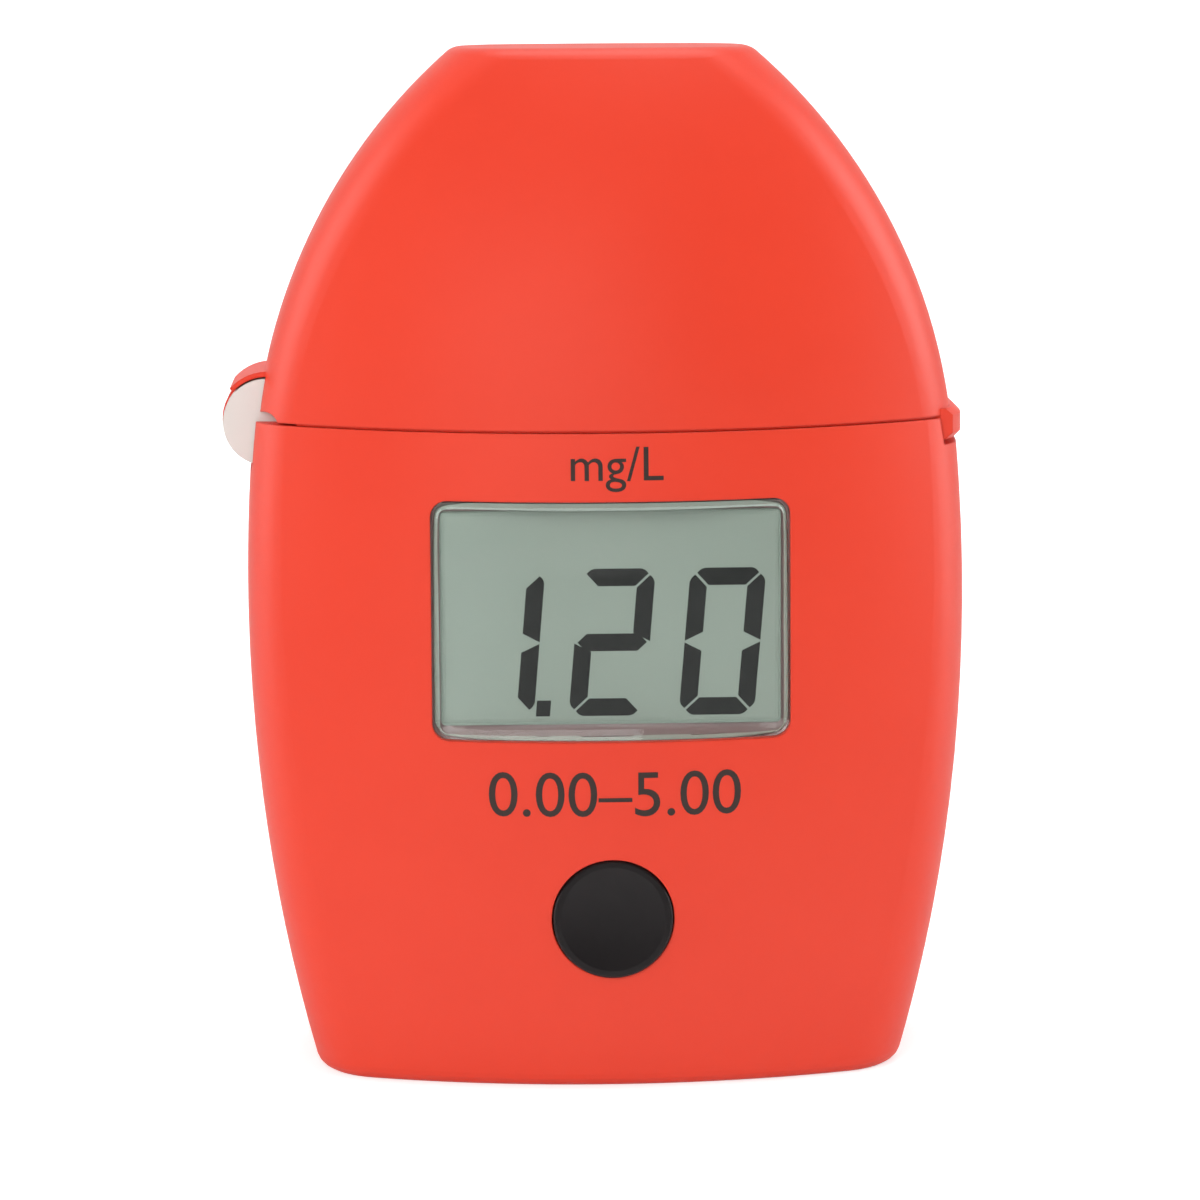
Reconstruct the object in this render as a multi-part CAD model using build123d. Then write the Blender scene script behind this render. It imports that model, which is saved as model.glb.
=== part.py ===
from build123d import *
from math import atan2, cos, degrees, hypot, radians, sin, sqrt
import os

# Pocket colorimeter: a bowed two-part case, a side-hinged lid, and the optics, display and cell inside.
# Millimetres. X runs to the user's right, Y from the display side to the back, Z up.
# The origin is the middle of the flat base.

# Outer form: each side and face follows one arc from base to rim, and another from rim to crown
height = 86.0
split_height = 55.2
parting_gap = 0.2
base_half_width = 24.7
rim_half_width = 29.55
case_side_radius = 150.0
base_half_depth = 15.1
rim_half_depth = 17.85
case_face_radius = 190.0
lid_rim_half_width = 29.25
lid_top_half_width = 12.5
lid_side_radius = 48.5
lid_rim_half_depth = 17.8
lid_top_half_depth = 8.6
lid_face_radius = 64.0
base_plan_radius = 60.0
rim_plan_radius = 46.0
end_crown = 0.5
corner_radius = 6.5
base_edge_radius = 1.2
crown_edge_radius = 1.8

# Walls
case_wall = 1.8
floor_thickness = 2.0
lid_wall = 1.4
lid_roof = 1.8
lid_inner_drop = 1.2
seam_lip_height = 1.2
seam_lip_wall = 0.85
edge_steps = 4
case_levels = 5
inner_levels = 9

# Clearances
slip_gap = 0.15
seat_gap = 0.1
pin_gap = 0.05
swing_gap = 0.3

# Hinge on the left of the rim, its axis along Y
hinge_x = -28.35
hinge_z = 55.0
hinge_half_length = 5.2
hinge_middle_half = 2.5
knuckle_radius = 3.65
hood_radius = 4.25
hood_offset = 0.12
hood_end_angle = 137.0
hinge_pin_radius = 1.0
hinge_pin_cover = 1.4
hinge_ledge_gap = 0.35

# Thumb tab on the right of the lid
tab_half_length = 7.9
tab_proud = 0.85
tab_thickness = 2.1
tab_bottom = 53.3
tab_top = 55.9
tab_edge_radius = 0.55
tab_notch_gap = 0.4

# Cuvette and its well
cuvette_y = 2.8
cuvette_base = 20.0
cuvette_radius = 11.1
cuvette_wall = 1.1
cuvette_floor = 1.3
cuvette_body_height = 33.0
cuvette_neck_radius = 8.3
cuvette_neck_height = 9.0
cuvette_shoulder = 1.6
cap_radius = 10.0
cap_height = 9.6
cap_wall = 1.2
cap_rib_count = 24
cap_rib_depth = 0.35
cap_seal_thickness = 0.8
well_gap = 0.2
well_wall = 1.2
well_floor = 1.2

# Optics across the well, along X
beam_height = 11.5
optic_bore_radius = 2.6
optic_boss_radius = 4.0
optic_boss_reach = 19.4
aperture_radius = 1.5
filter_thickness = 1.0
led_radius = 2.5
led_flange_radius = 2.9
led_flange_thickness = 1.0
diode_radius = 2.35
diode_length = 3.6
lead_width = 0.5
lead_pitch = 2.54
lead_turn = 1.2

# White deck under the lid
deck_recess = 0.45
deck_thickness = 1.6
deck_gap = 0.2
deck_lip_inset = 0.6
deck_lip_width = 0.9
deck_lip_height = 0.65
well_collar_width = 0.8
well_collar_height = 0.45
web_thickness = 1.6
web_upper_drop = 11.0
web_lower_height = 5.6

# Lid liner
liner_gap = 0.3
liner_thickness = 1.2
liner_hole_radius = 11.7
seal_width = 0.8
liner_screw_x = 19.5
liner_screw_y = -2.0
lid_boss_radius = 2.2

# Case screws, from the back
case_screw_x = 22.5
case_screw_lower = 21.0
case_screw_upper = 46.5
case_boss_radius = 2.6
screw_head_radius = 1.9
screw_head_height = 1.3
screw_radius = 1.0
screw_recess = 2.2
case_screw_length = 15.0
cross_width = 0.5
cross_length = 2.1
cross_depth = 0.7

# Display
window_width = 29.5
window_height = 19.8
window_centre = 39.65
window_corner = 1.4
window_proud = 0.12
window_step = 0.9
window_flange = 0.95
window_edge_radius = 0.5
board_front = -11.0
board_thickness = 1.0
zebra_height = 1.2
zebra_width = 1.6
zebra_length = 27.0
glass_width = 29.4
glass_height = 21.6
glass_thickness = 2.0
frame_wall = 1.1
frame_height = 2.1

# Circuit board
board_half_width = 17.6
board_wing_half_width = 22.6
board_bottom = 6.2
board_top = 52.2
wing_bottom = 25.6
wing_top = 42.6
board_screw_wing_x = 20.3
board_screw_wing_z = 38.5
board_screw_low_x = 12.4
board_screw_low_z = 8.0
standoff_radius = 1.9
board_screw_radius = 0.7
board_screw_head = 1.4
board_screw_head_height = 0.8
board_screw_length = 2.6

# Button
button_z = 14.8
button_radius = 4.95
button_gap = 0.12
button_proud = 0.15
button_dish_radius = 16.0
button_dish_depth = 0.6
button_flange_radius = 5.9
button_flange_thickness = 0.8
button_collar_radius = 6.9
button_travel = 0.7
switch_size = 6.0
switch_height = 1.6
plunger_radius = 1.6
plunger_reach = 0.3

# Cell and its tray
cell_radius = 5.25
cell_length = 43.3
cell_nub_radius = 1.9
cell_nub_height = 1.2
cell_y = 3.5
cell_x = 0.65
tray_wall = 1.0
tray_gap = 0.2
contact_thickness = 0.4
contact_height = 6.5
spring_room = 2.5

# Cell door in the back
door_half_width = 23.4
door_bottom = 2.7
door_top = 14.2
door_corner = 1.2
door_gap = 0.15
door_screw_z = 15.9
door_lug_radius = 2.6
door_shelf = 1.3
door_rib = 1.0
door_rib_depth = 1.5
door_screw_length = 4.8
door_screw_radius = 0.9
door_screw_head_radius = 1.7
door_screw_head_height = 0.9
door_screw_recess = 0.2
door_post_radius = 1.75

# Derived levels and places
case_top = split_height - parting_gap / 2
lid_bottom = split_height + parting_gap / 2
deck_top = case_top - deck_recess
deck_bottom = deck_top - deck_thickness
well_radius = cuvette_radius + well_gap
well_outer = well_radius + well_wall
seal_inner_radius = well_radius + well_collar_width + slip_gap
seal_outer_radius = seal_inner_radius + seal_width
beam_z = cuvette_base + beam_height
board_back = board_front + board_thickness
glass_back = board_front - zebra_height
glass_front = glass_back - glass_thickness
button_collar_end = board_front - switch_height - button_travel - slip_gap - button_flange_thickness
button_collar_end -= 2 * seat_gap
cell_z = floor_thickness + tray_wall + tray_gap + cell_radius
tray_top = cell_z + cell_radius + tray_gap + tray_wall
hinge_pocket = hinge_half_length + swing_gap
hinge_ledge = hinge_z - knuckle_radius - hinge_ledge_gap
hood_bore = knuckle_radius + slip_gap
tab_notch_bottom = tab_bottom - tab_notch_gap
far = 60.0


def arc_reach(z, low, high, radius):
    """Distance from the middle plane, at height z, of the outward arc through low and high, both (z, reach)."""
    half_chord = hypot(high[0] - low[0], high[1] - low[1]) / 2
    away = sqrt(radius**2 - half_chord**2)
    lean = atan2(high[1] - low[1], high[0] - low[0])
    centre_z = (low[0] + high[0]) / 2 + away * sin(lean)
    centre_reach = (low[1] + high[1]) / 2 - away * cos(lean)
    return centre_reach + sqrt(radius**2 - (z - centre_z) ** 2)


def case_half_width(z):
    return arc_reach(z, (0, base_half_width), (split_height, rim_half_width), case_side_radius)


def case_half_depth(z):
    return arc_reach(z, (0, base_half_depth), (split_height, rim_half_depth), case_face_radius)


def lid_half_width(z):
    return arc_reach(z, (split_height, lid_rim_half_width), (height, lid_top_half_width), lid_side_radius)


def lid_half_depth(z):
    return arc_reach(z, (split_height, lid_rim_half_depth), (height, lid_top_half_depth), lid_face_radius)


def bow(x, radius):
    """How far a face of that plan radius falls back at x from its middle."""
    return radius - sqrt(radius**2 - x**2)


def plan_radius(z):
    """Plan radius of the bowed faces at z: flatter at the base, tighter at the rim and all over the lid."""
    share = min(max(z, 0) / split_height, 1)
    return base_plan_radius + (rim_plan_radius - base_plan_radius) * share


def face_y(x, z, inset=0.0):
    """Distance of the case's bowed face from the middle plane, at x and z, the wall's inset taken off."""
    return case_half_depth(z) - inset - bow(x, plan_radius(z) - inset)


def outline(half_width, half_depth, inset=0.0, radius=rim_plan_radius):
    """Level outline: two bowed faces, two slightly crowned ends and four rounded corners."""
    reach, depth = half_width - inset, half_depth - inset
    end_x = reach - end_crown
    end_y = depth - bow(end_x, radius - inset)
    edges = [
        ThreePointArc((-end_x, -end_y), (0, -depth), (end_x, -end_y)),
        ThreePointArc((end_x, -end_y), (reach, 0), (end_x, end_y)),
        ThreePointArc((end_x, end_y), (0, depth), (-end_x, end_y)),
        ThreePointArc((-end_x, end_y), (-reach, 0), (-end_x, -end_y)),
    ]
    face = make_face(Curve() + edges)
    return fillet(face.vertices(), corner_radius - inset)


def case_outline(z, inset):
    return Pos(0, 0, z) * outline(case_half_width(z), case_half_depth(z), inset, plan_radius(z))


def case_form(inset, low, high, ruled=False):
    """The case's outer form, or the same form moved in by inset, between two levels.

    An inner form may be ruled: straight bands between more levels, which need fewer facets.
    """
    count = inner_levels if ruled else case_levels
    levels = [low + (high - low) * i / (count - 1) for i in range(count)]
    return loft([case_outline(z, inset) for z in levels], ruled=ruled)


def case_outside():
    """The whole outer form, its base edge rounded by narrow bands that step in along a quarter circle."""
    body = case_form(0, base_edge_radius, case_top)
    turns = [radians(90 * i / edge_steps) for i in range(edge_steps + 1)]
    bands = [case_outline(base_edge_radius * (1 - sin(a)), base_edge_radius * (1 - cos(a))) for a in turns]
    return body + loft(bands[::-1], ruled=True)


def lid_form(inset, drop, low, high, ruled=False):
    """The lid's form moved in by inset and down by drop, with levels closer together towards the crown."""
    levels = [low + (high - low) * share for share in (0, 0.22, 0.42, 0.6, 0.76, 0.9, 1)]
    return loft(
        [Pos(0, 0, z) * outline(lid_half_width(z + drop), lid_half_depth(z + drop), inset) for z in levels],
        ruled=ruled,
    )


def block(x, y, z):
    """A box between two ends on each axis."""
    spans = (x, y, z)
    return Pos(*[(a + b) / 2 for a, b in spans]) * Box(*[b - a for a, b in spans])


def rod_x(radius, y, z, start, end):
    return Pos((start + end) / 2, y, z) * Rot(0, 90, 0) * Cylinder(radius, end - start)


def rod_y(radius, x, z, start, end):
    return Pos(x, (start + end) / 2, z) * Rot(90, 0, 0) * Cylinder(radius, end - start)


def rod_z(radius, x, y, start, end):
    return Pos(x, y, (start + end) / 2) * Cylinder(radius, end - start)


def upright_panel(width, tall, corner, x, z, start, end):
    """A rounded rectangle in XZ, centred at x and z, run along Y from start to end."""
    plane = Plane(origin=(x, start, z), x_dir=(1, 0, 0), z_dir=(0, 1, 0))
    return extrude(plane * RectangleRounded(width, tall, corner), end - start)


def both_sides(shape):
    return shape + mirror(shape, Plane.YZ)


def cross_recess(x, z, face):
    """A cross slot sunk from the face at that Y, for a head that looks towards +Y."""
    flat = Box(cross_length, cross_depth, cross_width)
    upright = Box(cross_width, cross_depth, cross_length)
    return Pos(x, face - cross_depth / 2, z) * (flat + upright)


def back_screw(x, z, face, length, head_radius, head_height, radius):
    """A cross-head screw along Y, its head's outer face at face and its point towards -Y."""
    head = rod_y(head_radius, x, z, face - head_height, face)
    shank = rod_y(radius, x, z, face - head_height - length, face - head_height)
    return head + shank - cross_recess(x, z, face)


def case_screw_places():
    return [(side * case_screw_x, z) for side in (-1, 1) for z in (case_screw_lower, case_screw_upper)]


def case_screw_face(z):
    """Y of a case screw's head: sunk below the lowest point of the slanting face round it."""
    return face_y(case_screw_x + screw_head_radius, z) - screw_recess + screw_head_height


def case_shell():
    """The whole case wall and floor, before it parts into a front and a back."""
    shell = case_outside() - case_form(case_wall, floor_thickness, case_top + 2, ruled=True)
    shell -= block((-far, hinge_x + knuckle_radius + 2), (-hinge_pocket, hinge_pocket), (hinge_ledge, far))
    notch = tab_half_length + swing_gap
    shell -= block((rim_half_width - tab_thickness - 3, far), (-notch, notch), (tab_notch_bottom, far))
    return shell


def front_lip_trim():
    """All that comes off the shell behind the seam to leave the front's thin inner lip."""
    top = min(hinge_ledge, tab_notch_bottom) - swing_gap
    lip_space = case_form(seam_lip_wall + seat_gap, floor_thickness, top)
    return block((-far, far), (0, far), (-far, far)) - (
        lip_space & block((-far, far), (-1, seam_lip_height), (-far, far))
    )


def front_shell(shell):
    """Display half of the case, with its window and button openings, screw bosses and board standoffs."""
    shape = shell - front_lip_trim()
    inside = case_form(case_wall - 0.3, floor_thickness, case_top, ruled=True)
    bosses = [rod_y(case_boss_radius, x, z, -far, -web_thickness / 2) for x, z in case_screw_places()]
    bosses += [rod_y(standoff_radius, x, z, -far, board_front) for x, z in board_screw_places()]
    bosses += [rod_y(button_collar_radius, 0, button_z, -far, button_collar_end)]
    shape += (Part() + bosses) & inside
    for x, z in case_screw_places():
        depth = case_screw_face(z) - screw_head_height - case_screw_length - 1
        shape -= rod_y(screw_radius + pin_gap, x, z, depth, 0)
    for x, z in board_screw_places():
        end = board_back - board_screw_length - seat_gap
        shape -= rod_y(board_screw_radius + seat_gap / 2, x, z, end, board_front)
    shape -= upright_panel(window_width, window_height, window_corner, 0, window_centre, -far, glass_front)
    flange = 2 * (window_flange + slip_gap)
    rebate = upright_panel(
        window_width + flange, window_height + flange, window_corner, 0, window_centre, -far, glass_back
    )
    shape -= rebate & case_form(window_step, floor_thickness, deck_bottom, ruled=True)
    shape -= rod_y(button_radius + button_gap, 0, button_z, -far, button_collar_end)
    return shape


def back_shell(shell):
    """Back half of the case, with the cell door's opening and the sunk seats of the case screws."""
    shape = shell & block((-far, far), (0, far), (-far, far))
    shape -= case_form(seam_lip_wall, floor_thickness, case_top + 1) & block(
        (-far, far), (-1, seam_lip_height + seat_gap), (floor_thickness, hinge_ledge)
    )
    inside = case_form(case_wall - 0.3, floor_thickness, case_top, ruled=True)
    bosses = [rod_y(case_boss_radius, x, z, web_thickness / 2, far) for x, z in case_screw_places()]
    shape += (Part() + bosses) & inside
    shape += door_screw_seat()
    for x, z in case_screw_places():
        seat = case_screw_face(z) - screw_head_height
        shape -= rod_y(screw_head_radius + slip_gap, x, z, seat, far)
        shape -= rod_y(screw_radius + slip_gap, x, z, 0, far)
    shape -= door_outline(0) & block((-far, far), (0, far), (0, door_top))
    shape -= door_outline(0) - case_form(case_wall + seat_gap, 0, case_top)
    end = door_screw_seat_face() - door_screw_length
    shape -= rod_y(door_screw_radius + pin_gap, 0, door_screw_z, end - seat_gap, far)
    return shape


def door_screw_seat():
    """Shelf under the door's lug, hung from the wall above the opening, and the post that takes the screw."""
    under_well = cuvette_base - well_floor - swing_gap
    shelf = rod_y(door_lug_radius + door_shelf, 0, door_screw_z, 1, far)
    shelf &= block((-far, far), (0, far), (door_top, under_well))
    shelf &= case_form(case_wall - seat_gap, floor_thickness, case_top)
    shelf -= case_form(case_wall + seat_gap + door_shelf, floor_thickness - 1, case_top + 1)
    end = door_screw_seat_face() - door_screw_length
    post = rod_y(door_post_radius, 0, door_screw_z, end - seat_gap, far)
    return shelf + (post & case_form(case_wall + 2 * seat_gap, floor_thickness, case_top))


def door_outline(gap):
    """The door's outline run along Y: a wide rounded panel with a small screw lug on top."""
    width = 2 * (door_half_width - gap)
    tall = door_top - door_bottom - 2 * gap
    panel = upright_panel(width, tall, door_corner, 0, (door_top + door_bottom) / 2, 1, far)
    lug = rod_y(door_lug_radius - gap, 0, door_screw_z, 1, far)
    neck = block((-(door_lug_radius - gap), door_lug_radius - gap), (1, far), (door_bottom + 3, door_screw_z))
    return panel + lug + neck


def door_screw_face():
    """Y of the door screw's head, just below the door's face."""
    return face_y(0, door_screw_z) - door_screw_recess


def door_screw_seat_face():
    return door_screw_face() - door_screw_head_height


def battery_door():
    """Curved door with a locating rib inside its edge and a sunk hole for its screw."""
    shape = door_outline(door_gap) & (case_form(0, 0, case_top) - case_form(case_wall, -1, case_top + 1))
    tall = door_top - door_bottom - 2 * (door_gap + 0.3)
    width = 2 * (door_half_width - door_gap - 1.0)
    middle = (door_top + door_bottom) / 2
    rib = upright_panel(width, tall, door_corner, 0, middle, 1, far)
    rib -= upright_panel(width - 2 * door_rib, tall - 2 * door_rib, 0.6, 0, middle, 0, far)
    rib &= case_form(case_wall - 0.2, -1, case_top) - case_form(case_wall + door_rib_depth, -2, case_top + 1)
    rib -= block((-far, far), (0, cell_y + cell_radius + tray_gap), (0, far))
    shape += rib
    shape -= rod_y(door_screw_head_radius + slip_gap, 0, door_screw_z, door_screw_seat_face(), far)
    shape -= rod_y(door_screw_radius + slip_gap, 0, door_screw_z, 0, far)
    return shape


def battery_door_screw():
    return back_screw(
        0,
        door_screw_z,
        door_screw_face(),
        door_screw_length,
        door_screw_head_radius,
        door_screw_head_height,
        door_screw_radius,
    )


def case_screws():
    screws = [
        back_screw(
            x, z, case_screw_face(z), case_screw_length, screw_head_radius, screw_head_height, screw_radius
        )
        for x, z in case_screw_places()
    ]
    return Compound(children=screws)


def hinge_cylinder(radius, start, end):
    return rod_y(radius, hinge_x, hinge_z, start, end)


def lid_shell():
    """Domed lid with the hinge hood and middle knuckle on its left and the thumb tab on its right."""
    outer = lid_form(0, 0, lid_bottom, height)
    outer = fillet(outer.edges().group_by(Axis.Z)[-1], crown_edge_radius)
    inner = lid_form(lid_wall, lid_inner_drop, lid_bottom - 1, height - lid_roof, ruled=True)
    shape = outer - inner
    bosses = both_sides(rod_z(lid_boss_radius, liner_screw_x, liner_screw_y, liner_top(), height))
    shape += bosses & lid_form(lid_wall - 0.3, lid_inner_drop, lid_bottom, height - lid_roof + 0.3)
    shape -= both_sides(
        rod_z(board_screw_radius + seat_gap / 2, liner_screw_x, liner_screw_y, liner_top(), liner_top() + 4)
    )
    shape -= hinge_cylinder(hood_bore, -hinge_pocket, hinge_pocket)
    shape += hinge_hood()
    shape += hinge_cylinder(hood_bore, -hinge_middle_half, hinge_middle_half)
    shape -= hinge_cylinder(hinge_pin_radius + pin_gap, -far, far)
    shape += thumb_tab()
    return shape


def hinge_hood():
    """The curved lip that covers the knuckles from above, thinner towards its end."""
    length = hinge_half_length
    hood = rod_y(hood_radius, hinge_x + hood_offset, hinge_z, -length, length)
    hood -= hinge_cylinder(hood_bore, -far, far)
    hood &= block((-far, far), (-far, far), (lid_bottom, far))
    behind = Pos(hinge_x, 0, hinge_z) * Rot(0, -hood_end_angle, 0) * block((0, far), (-far, far), (0, far))
    return hood - behind


def thumb_tab():
    """The lip that the thumb lifts: a band that follows the lid's end, standing proud and hanging into the notch."""
    outside = outline(lid_rim_half_width, lid_rim_half_depth, -tab_proud)
    inside = outline(lid_rim_half_width, lid_rim_half_depth, tab_thickness - tab_proud)
    band = extrude(Pos(0, 0, tab_bottom) * (outside - inside), tab_top - tab_bottom)
    tab = band & block((10, far), (-tab_half_length, tab_half_length), (0, far))
    return chamfer(tab.faces().sort_by(Axis.X)[-1].edges(), tab_edge_radius)


def liner_bottom():
    return lid_bottom + liner_gap


def liner_top():
    return liner_bottom() + liner_thickness


def lid_liner():
    """White plate that closes the lid, with a hole that the cuvette's cap stands in."""
    level = liner_top() + lid_inner_drop
    plate = outline(lid_half_width(level), lid_half_depth(level), lid_wall + slip_gap)
    shape = extrude(Pos(0, 0, liner_bottom()) * plate, liner_thickness)
    shape += rod_z(liner_hole_radius + 1, 0, cuvette_y, liner_top(), liner_top() + 2) & lid_form(
        lid_wall + slip_gap, lid_inner_drop, lid_bottom, liner_top() + 4
    )
    shape -= rod_z(liner_hole_radius, 0, cuvette_y, 0, far + height)
    shape -= both_sides(rod_z(board_screw_radius + slip_gap, liner_screw_x, liner_screw_y, 0, height))
    shape -= hinge_cylinder(hood_radius + hood_offset + slip_gap, -far, far)
    return shape


def lid_liner_screws():
    head = rod_z(board_screw_head, liner_screw_x, liner_screw_y, liner_bottom() - board_screw_head_height, liner_bottom())
    shank = rod_z(board_screw_radius, liner_screw_x, liner_screw_y, liner_bottom(), liner_top() + 3)
    screw = head + shank
    slot = block(
        (liner_screw_x - cross_length / 2, liner_screw_x + cross_length / 2),
        (liner_screw_y - cross_width / 2, liner_screw_y + cross_width / 2),
        (0, liner_bottom() - board_screw_head_height + cross_depth / 2),
    )
    screw -= slot
    return Compound(children=[screw, mirror(screw, Plane.YZ)])


def light_seal():
    """Soft ring under the liner that shuts stray light out of the well."""
    return rod_z(seal_outer_radius, 0, cuvette_y, deck_top + seat_gap, liner_bottom()) - rod_z(
        seal_inner_radius, 0, cuvette_y, 0, far
    )


def optical_chassis():
    """White moulding: deck, cuvette well, optic bosses, clamping webs and the two outer hinge knuckles."""
    plan = outline(rim_half_width, rim_half_depth, case_wall + deck_gap)
    shape = extrude(Pos(0, 0, deck_bottom) * plan, deck_thickness)
    inset = case_wall + deck_gap + deck_lip_inset
    lip = outline(rim_half_width, rim_half_depth, inset) - outline(
        rim_half_width, rim_half_depth, inset + deck_lip_width
    )
    lip = extrude(Pos(0, 0, deck_top) * lip, deck_lip_height)
    shape += lip - rod_z(seal_outer_radius + swing_gap, 0, cuvette_y, 0, far)
    shape += rod_z(well_radius + well_collar_width, 0, cuvette_y, deck_top, deck_top + well_collar_height)
    shape += rod_z(well_outer, 0, cuvette_y, cuvette_base - well_floor, deck_top)
    reach = optic_boss_reach
    shape += rod_x(optic_boss_radius, cuvette_y, beam_z, -reach, reach)
    half = web_thickness / 2
    inside = case_form(case_wall + slip_gap, floor_thickness, deck_top, ruled=True)
    low = cuvette_base - well_floor
    webs = block((-far, far), (-half, half), (deck_bottom - web_upper_drop, deck_top))
    webs += block((-far, far), (-half, half), (low, low + web_lower_height))
    shape += webs & inside
    shape -= rod_z(well_radius, 0, cuvette_y, cuvette_base, far + height)
    shape -= rod_x(aperture_radius, cuvette_y, beam_z, -reach, reach)
    for side in (-1, 1):
        ends = sorted((side * well_outer, side * (reach + 1)))
        shape -= rod_x(optic_bore_radius, cuvette_y, beam_z, *ends)
    for x, z in case_screw_places():
        shape -= rod_y(screw_radius + slip_gap, x, z, -2, 2)
    return with_knuckles(shape)


def with_knuckles(shape):
    """Adds the hinge block and its two knuckles to the deck, and clears the lid's own knuckle and hood."""
    hinge_right = hinge_x + knuckle_radius + 2.2
    pocket = block((-far, hinge_right), (-far, far), (hinge_z - knuckle_radius - 0.1, far))
    shape -= pocket & block((-far, hinge_x + hood_offset + hood_radius + slip_gap), (-far, far), (0, far))
    shape += block(
        (hinge_x, hinge_right), (-hinge_half_length, hinge_half_length), (hinge_z - knuckle_radius, deck_top)
    )
    shape += hinge_cylinder(knuckle_radius, -hinge_half_length, hinge_half_length)
    middle = hinge_middle_half + slip_gap
    shape -= hinge_cylinder(hood_bore + slip_gap, -middle, middle)
    shape -= hinge_cylinder(hinge_pin_radius + seat_gap / 5, -hinge_half_length + hinge_pin_cover, far)
    return shape


def hinge_pin():
    return hinge_cylinder(hinge_pin_radius, -hinge_half_length + hinge_pin_cover + seat_gap, hinge_half_length)


def cuvette_glass():
    """Round glass vial with a flat floor, a sloping shoulder and a neck."""
    shoulder = cuvette_base + cuvette_body_height
    neck = shoulder + cuvette_shoulder
    rim = neck + cuvette_neck_height - cuvette_shoulder
    points = [
        (0, cuvette_base),
        (cuvette_radius, cuvette_base),
        (cuvette_radius, shoulder),
        (cuvette_neck_radius, neck),
        (cuvette_neck_radius, rim),
        (cuvette_neck_radius - cuvette_wall, rim),
        (cuvette_neck_radius - cuvette_wall, neck),
        (cuvette_radius - cuvette_wall, shoulder - cuvette_wall / 2),
        (cuvette_radius - cuvette_wall, cuvette_base + cuvette_floor),
        (0, cuvette_base + cuvette_floor),
    ]
    profile = make_face(Plane.XZ * Polyline(*points, close=True))
    return Pos(0, cuvette_y, 0) * revolve(profile, Axis.Z)


def cuvette_rim():
    return cuvette_base + cuvette_body_height + cuvette_neck_height


def cuvette_cap():
    """Ribbed screw cap over the neck."""
    top = cuvette_rim() + seat_gap + cap_seal_thickness + cap_wall
    bottom = top - cap_height
    cap = rod_z(cap_radius - cap_rib_depth, 0, cuvette_y, bottom, top)
    cap = chamfer(cap.edges().group_by(Axis.Z)[-1], cap_rib_depth)
    rib = block((0, cap_radius), (-cap_rib_depth, cap_rib_depth), (bottom, top - cap_wall))
    cap += [Pos(0, cuvette_y, 0) * Rot(0, 0, 360 * i / cap_rib_count) * rib for i in range(cap_rib_count)]
    return cap - rod_z(cuvette_neck_radius + slip_gap, 0, cuvette_y, bottom, top - cap_wall)


def cuvette_seal():
    """Thin liner disc between the cap's roof and the glass rim."""
    low = cuvette_rim() + seat_gap / 2
    return rod_z(cuvette_neck_radius, 0, cuvette_y, low, low + cap_seal_thickness)


def display_window():
    """Clear window: a plateau that fills the opening and a thinner flange that seats in the shell's rebate."""
    width, tall = window_width - 2 * slip_gap, window_height - 2 * slip_gap
    low, high = floor_thickness, case_top
    plateau = upright_panel(width, tall, window_corner - slip_gap, 0, window_centre, -far, glass_front)
    plateau &= case_form(-window_proud, low, high) - case_form(case_wall, low - 1, high + 1, ruled=True)
    plateau = chamfer(plateau.faces().sort_by(Axis.Y)[0].edges(), window_edge_radius)
    flange = 2 * window_flange
    rim = upright_panel(width + flange, tall + flange, window_corner, 0, window_centre, -far, glass_front)
    behind = case_form(case_wall, low - 1, high + 1, ruled=True)
    rim &= case_form(window_step + seat_gap, low, high, ruled=True) - behind
    return plateau + rim


def display_glass():
    return block(
        (-glass_width / 2, glass_width / 2),
        (glass_front, glass_back),
        (window_centre - glass_height / 2, window_centre + glass_height / 2),
    )


def display_frame():
    """Holder that clips the glass and its rubber connectors to the board."""
    width, tall = glass_width + 2 * slip_gap, glass_height + 2 * slip_gap
    outer = 2 * frame_wall
    ring = upright_panel(
        width + outer, tall + outer, 0.8, 0, window_centre, board_front - frame_height, board_front
    )
    return ring - upright_panel(width, tall, 0.3, 0, window_centre, -far, far)


def zebra_strips():
    """Striped rubber connectors between the board and the display glass, top and bottom."""
    strips = []
    for side in (-1, 1):
        z = window_centre + side * (glass_height / 2 - zebra_width)
        strips.append(
            block((-zebra_length / 2, zebra_length / 2), (glass_back, board_front), (z - zebra_width / 2, z + zebra_width / 2))
        )
    return Compound(children=strips)


def board_screw_places():
    wing = [(side * board_screw_wing_x, board_screw_wing_z) for side in (-1, 1)]
    low = [(side * board_screw_low_x, board_screw_low_z) for side in (-1, 1)]
    return wing + low


def circuit_board():
    board = block((-board_half_width, board_half_width), (board_front, board_back), (board_bottom, board_top))
    board += block(
        (-board_wing_half_width, board_wing_half_width), (board_front, board_back), (wing_bottom, wing_top)
    )
    for x, z in board_screw_places():
        board -= rod_y(board_screw_radius + slip_gap, x, z, board_front, board_back)
    for x, z in lead_places():
        hole = lead_width / 2 + seat_gap
        board -= block((x - hole, x + hole), (board_front, board_back), (z - hole, z + hole))
    return board


def lead_places():
    x = optic_boss_reach + led_flange_thickness + lead_turn
    return [(side * x, beam_z + end * lead_pitch / 2) for side in (-1, 1) for end in (-1, 1)]


def optic_leads(side):
    """Two square leads that leave an optic's base outwards and turn to the board."""
    base = optic_boss_reach + led_flange_thickness + seat_gap
    half = lead_width / 2
    leads = Part()
    for x, z in lead_places():
        if x * side < 0:
            continue
        start, end = sorted((side * base, x + side * half))
        leads += block((start, end), (cuvette_y - half, cuvette_y + half), (z - half, z + half))
        leads += block((x - half, x + half), (board_front - 0.4, cuvette_y + half), (z - half, z + half))
    return leads


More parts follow.
